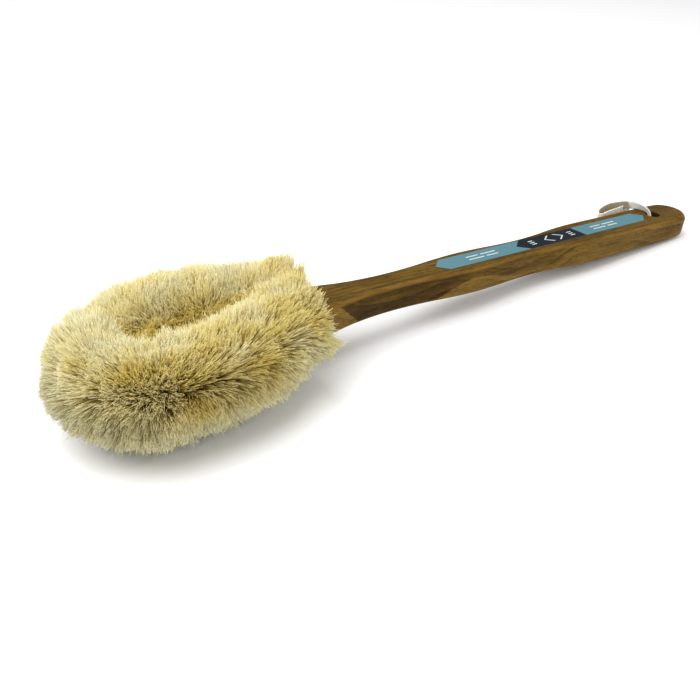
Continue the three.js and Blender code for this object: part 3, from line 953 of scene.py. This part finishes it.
def kept_share(s, angle):
    """The share of their length that strands keep after use and pressing across the loop."""
    place, _ = on_core(s)
    end = from_end(s)
    turn = np.degrees(angle)
    to_nose = np.clip((FLARE_X - place[:, 0]) / NOSE_REACH, 0, 1)
    valley = window(turn, *VALLEY) * (VALLEY_WEAR + VALLEY_WEAR_AT_NOSE * to_nose)
    valley *= 1 - VALLEY_SPARED_AT_END * fade(end, VALLEY_SPARED_REACH)
    inner = window(turn, *INNER_UNDERSIDE) * INNER_WEAR
    wear = OUTER_WEAR + OUTER_WEAR_AT_END * fade(end, OUTER_WEAR_REACH)
    outer = window(turn, *OUTER_UNDERSIDE) * wear
    round_nose = np.degrees(np.arctan2(place[:, 1], NOSE_X - place[:, 0]))
    corner = window(round_nose, *FAR_CORNER) * window(turn, *CORNER) * CORNER_WEAR
    groove = GROOVE_WEAR * fade(s - TOP_PARTING, GROOVE_REACH) * np.clip(np.sin(angle), 0, 1)
    return 1 - valley - inner - outer - corner - groove


def press(lines, s, lift):
    """Strands that point into the loop press on those across it, and turn up or down there."""
    nose = in_nose(s)[:, None]
    sign = np.where(on_far_side(s), 1.0, -1.0)[:, None]
    gap = (PRESS_GAP + rng.uniform(0, 1, len(s)) ** 2 * PRESS_GAP_SPREAD)[:, None]
    depth = lines[:, :, 1] * sign
    over = np.where(nose, 0, np.maximum(0, gap - depth))
    lines[:, :, 1] = np.where(over > 0, sign * (gap - PRESS_PAST * over), lines[:, :, 1])
    place, _ = on_core(s)
    spoke = unit(place - [NOSE_X, 0])
    inner = ((lines[:, :, :2] - [NOSE_X, 0]) * spoke[:, None]).sum(2)
    nose_over = np.where(nose, np.maximum(0, gap - inner), 0)
    lines[:, :, :2] += spoke[:, None] * (nose_over * NOSE_PRESS)[:, :, None]
    lines[:, :, 2] += (over + nose_over) * PRESS_LIFT * lift[:, None]
    return lines


def grown():
    """Where on the rope each strand starts, its direction round it, and its length."""
    i = np.arange(STRANDS)
    # The nose's outer side is long, so it takes more strands.
    fill = np.cumsum(np.diff(ARC, prepend=0) * np.where(in_nose(ARC), NOSE_FILL, 1.0))
    s = np.interp((i + rng.uniform(0, 1, STRANDS)) / STRANDS * fill[-1], fill, ARC)
    angle = (i * GOLDEN_ANGLE + rng.normal(0, ANGLE_SCATTER, STRANDS)) % FULL_TURN
    angle = np.where(in_nose(s), angle + NOSE_CROWDING * np.sin(angle), angle)
    length = FIBRE_LENGTH + CUT_SPARE - rng.exponential(CUT_SCATTER, STRANDS)
    stray = rng.uniform(0, 1, STRANDS) < STRAY_SHARE
    length = np.where(stray, FIBRE_LENGTH + rng.uniform(*STRAY_EXTRA, STRANDS), length)
    return s, angle, np.clip(length * kept_share(s, angle), SHORTEST, None)


def parted(beyond, most, soon, reach):
    """Opposite values on either side of a parting, soon the most and then fading over the reach."""
    return most * np.tanh(beyond / soon) * decay(np.abs(beyond), reach)


def combed(s, angle):
    """How far each strand leans along the rope and bends round it, as shares of its length."""
    lean = rng.normal(0, LEAN_SCATTER, STRANDS)
    bend = rng.normal(0, BEND_SCATTER, STRANDS)
    end, far = from_end(s), on_far_side(s)
    upwards, downwards = np.clip(np.sin(angle), 0, 1), np.clip(-np.sin(angle), 0, 1)
    # Neighbours lean together, in swirls.
    place, way = on_core(s)
    outwards = place + leftwards(way) * np.cos(angle)[:, None] * FIBRE_LENGTH
    rough_tips = np.hstack([outwards, np.sin(angle)[:, None] * FIBRE_LENGTH])
    swirl = SWIRL_LEAN * smooth_noise(rough_tips, scale=17, seed=21)
    lean += swirl * (1 - fade(end, SWIRL_START))
    lean *= 1 - STIFFNESS_AT_END * decay(end, STIFFNESS_REACH)
    # The ends of the rope are cut straight, and the floor pushes what is underneath forwards.
    forwards = FLOOR_PUSH * downwards + np.where(far, 0.0, TOP_PUSH_NEAR) * upwards
    lean += np.where(far, 1, -1) * forwards * decay(end, PUSH_REACH)
    bend += SWIRL_BEND * smooth_noise(rough_tips, scale=14, seed=22)
    # On the outer side the strands part: those above are swept up, and those below hang down.
    wander = SIDE_PARTING_WANDER * smooth_noise(level(place), scale=22, seed=7)
    bend += parted(np.degrees(angle) - (SIDE_PARTING + wander), *SIDE_PARTING_BEND)
    # On the far side they part across the top, where the rope bends towards the handle.
    lean += parted(s - TOP_PARTING, *TOP_PARTING_LEAN) * upwards
    return lean, bend


def coloured(s, angle, tips):
    """Each strand's tone, and the share of its length's colours that it shows."""
    turn = np.degrees(angle)
    end = from_end(s)
    # Strands are golden on the valley's wall and the shoulder, partly as painted shade there and
    # more on the near side's shoulder than the far one's; paler on the crest; and dim below, as
    # painted shade.
    shoulder = np.where(on_far_side(s), SHOULDER_TONE_FAR, SHOULDER_TONE_NEAR)
    tone = MIDDLE_TONE + VALLEY_TONE * window(turn, *VALLEY_WALL)
    tone += shoulder * window(turn, *SHOULDER)
    tone += UNDERSIDE_SHADE_TONE * window(turn, *SHADED_UNDERSIDE)
    tone += NOSE_TONE * np.clip((NOSE_TONE_START - tips[:, 0]) / NOSE_TONE_REACH, 0, 1)
    patches = PATCHES * (1 - PATCHES_LOST_BELOW * window(turn, *EVEN_UNDERSIDE))
    scatter = rng.normal(0, TONE_SCATTER, STRANDS)
    tone += patches * smooth_noise(tips, scale=16, seed=11) + scatter
    # Painted shade: where the strands part, down in the slot and on the heel's top, only their
    # darker lower lengths are seen.
    bare = 1 - PARTING_SHADE * window(turn, *OUTER_SIDE) * window(end, *DARK_STRETCH)
    bare -= SLOT_SHADE * window(turn, *SLOT_WALL)
    bare -= HEEL_SHADE * fade(end, HEEL_SHADE_REACH) * window(turn, *TOP)
    return np.clip(tone, 0, 0.999), bare


def clump(lines, count, low, high):
    """Draws strands' tips towards those of a few leaders, as tufts."""
    leaders = rng.choice(len(lines), count, replace=False)
    tree = KDTree(count)
    for k, leader in enumerate(leaders):
        tree.insert(lines[leader, -1], k)
    tree.balance()
    nearest = np.array([tree.find(tip)[1] for tip in lines[:, -1]])
    leader = leaders[nearest]
    weight = rng.uniform(low, high, count)[nearest][:, None, None]
    gap = lines[leader] - lines
    near = fade(np.linalg.norm(gap[:, -1], axis=1), TUFT_REACH)[:, None, None]
    return lines + gap * weight * near * SHARES ** 2


def strands():
    """Every strand's place on the rope, middle line, tone and share of its colours."""
    s, angle, length = grown()
    lean, bend = combed(s, angle)
    lines = strand_lines(s, angle, length, lean, bend)
    tips = lines[:, -1]
    drift = [smooth_noise(tips, scale=13, seed=seed) for seed in (1, 2, 3)]
    lines += np.stack(drift, axis=1)[:, None] * TIP_DRIFT * SHARES ** 2
    lift = np.where(np.sin(angle) + rng.normal(0, LIFT_SCATTER, STRANDS) > 0, 1.0, -1.0)
    lines = press(lines, s, lift)
    pressed_tips = lines[:, -1]
    for tufts in (BROAD_TUFTS, FINE_TUFTS):
        lines = clump(lines, *tufts)
    turn = np.degrees(angle)
    hanging = np.flatnonzero((turn > HANGING[0]) & (turn < HANGING[1]))
    lines[hanging] = clump(lines[hanging], *HANGING_TUFTS)
    lines[:, :, 2] = np.maximum(lines[:, :, 2], FLOOR_GAP - FIBRE_LENGTH)
    tone, bare = coloured(s, angle, pressed_tips)
    return s, lines, tone, bare


def strand_mesh(name, lines, tone, bare):
    """Tapered three-sided strands, each a closed body, with its column and its length as UV."""
    count = len(lines)
    along = unit(np.gradient(lines, axis=1))
    pick = unit(rng.normal(size=(count, 1, 3)))
    first = unit(np.cross(along, pick))
    second = np.cross(along, first)
    taper = np.linspace(0, 1, RINGS)
    radius = (ROOT_RADIUS + (TIP_RADIUS - ROOT_RADIUS) * taper)[None, :, None]
    radius = radius * rng.uniform(*THICKNESS_SCATTER, (count, 1, 1))
    corners = []
    for k in range(SIDES):
        a = FULL_TURN * k / SIDES
        corners.append(lines + radius * (math.cos(a) * first + math.sin(a) * second))
    verts = np.stack(corners, axis=2).reshape(-1, 3)
    faces, rows = [], []
    for r in range(RINGS - 1):
        for k in range(SIDES):
            m = (k + 1) % SIDES
            low, high = r * SIDES, (r + 1) * SIDES
            faces += [(low + k, low + m, high + m), (low + k, high + m, high + k)]
            rows += [(r, r, r + 1), (r, r + 1, r + 1)]
    last = (RINGS - 1) * SIDES
    faces += [(2, 1, 0), (last, last + 1, last + 2)]
    rows += [(0, 0, 0), (RINGS - 1,) * 3]
    pattern = np.array(faces)
    index = (pattern[None] + (np.arange(count) * RINGS * SIDES)[:, None, None]).reshape(-1, 3)
    mesh = bpy.data.meshes.new(name)
    mesh.vertices.add(len(verts))
    mesh.vertices.foreach_set("co", (verts * MM + np.array(ORIGIN)).ravel())
    mesh.loops.add(index.size)
    mesh.loops.foreach_set("vertex_index", index.ravel())
    mesh.polygons.add(len(index))
    mesh.polygons.foreach_set("loop_start", np.arange(len(index)) * 3)
    mesh.polygons.foreach_set("use_smooth", np.ones(len(index), bool))
    shades = COLUMNS // TONES
    shade = rng.integers(0, shades, count)
    column = (np.floor(tone * TONES) * shades + shade + 0.5) / COLUMNS
    shown = np.array(rows)[None] / (RINGS - 1) * bare[:, None, None]
    uv = np.empty((count, len(pattern), 3, 2))
    uv[..., 0] = column[:, None, None]
    uv[..., 1] = shown * (1 - 2 * UV_MARGIN) + UV_MARGIN
    mesh.uv_layers.new(name=UV_NAME).data.foreach_set("uv", uv.ravel())
    mesh.update(calc_edges=True)
    mesh.validate()
    made = bpy.data.objects.new(name, mesh)
    bpy.context.collection.objects.link(made)
    return made


def fibre_rope():
    s, lines, tone, bare = strands()
    straw = fibre_material()
    end = CORE_LENGTH
    sections = [
        ("heel_far", 0, FLARE_START), ("run_far", FLARE_START, NOSE_START),
        ("nose", NOSE_START, end - NOSE_START), ("run_near", end - NOSE_START, end - FLARE_START),
        ("heel_near", end - FLARE_START, end),
    ]
    for name, low, high in sections:
        chosen = np.flatnonzero((s >= low) & (s < high))
        parts = math.ceil(len(chosen) / PIECE_STRANDS)
        for k, part in enumerate(np.array_split(chosen, parts)):
            piece = strand_mesh(f"fibre_{name}_{k + 1}", lines[part], tone[part], bare[part])
            finish_piece(piece, straw, BRUSH, f"bristle_{name}")


fibre_rope()


# ---------------------------------------------------------------- floor and light
FLOOR_REACH = 6.0


def add_floor():
    r = FLOOR_REACH
    floor = add_mesh("floor", [(-r, -r, 0), (r, -r, 0), (r, r, 0), (-r, r, 0)], [(0, 1, 2, 3)])
    floor.data.materials.append(floor_material())


def add_area(name, place, target, size, watts):
    data = bpy.data.lights.new(name, "AREA")
    data.shape = "DISK"
    data.size = size
    data.energy = watts
    lamp = bpy.data.objects.new(name, data)
    bpy.context.collection.objects.link(lamp)
    lamp.location = place
    lamp.rotation_euler = (Vector(target) - Vector(place)).to_track_quat("-Z", "Y").to_euler()


def add_lights():
    world = bpy.data.worlds.new("studio")
    bpy.context.scene.world = world
    world.use_nodes = True
    sky = world.node_tree.nodes["Background"]
    sky.inputs["Color"].default_value = (1, 1, 1, 1)
    sky.inputs["Strength"].default_value = 0.55
    target = (0, 0, 0.02)
    add_area("key", (-0.45, 0.10, 1.2), target, size=1.5, watts=20)
    add_area("fill", (0.5, -0.9, 0.7), target, size=0.8, watts=4)
    view = bpy.context.scene.view_settings
    view.view_transform = "Standard"
    view.look = "None"


add_floor()
add_lights()
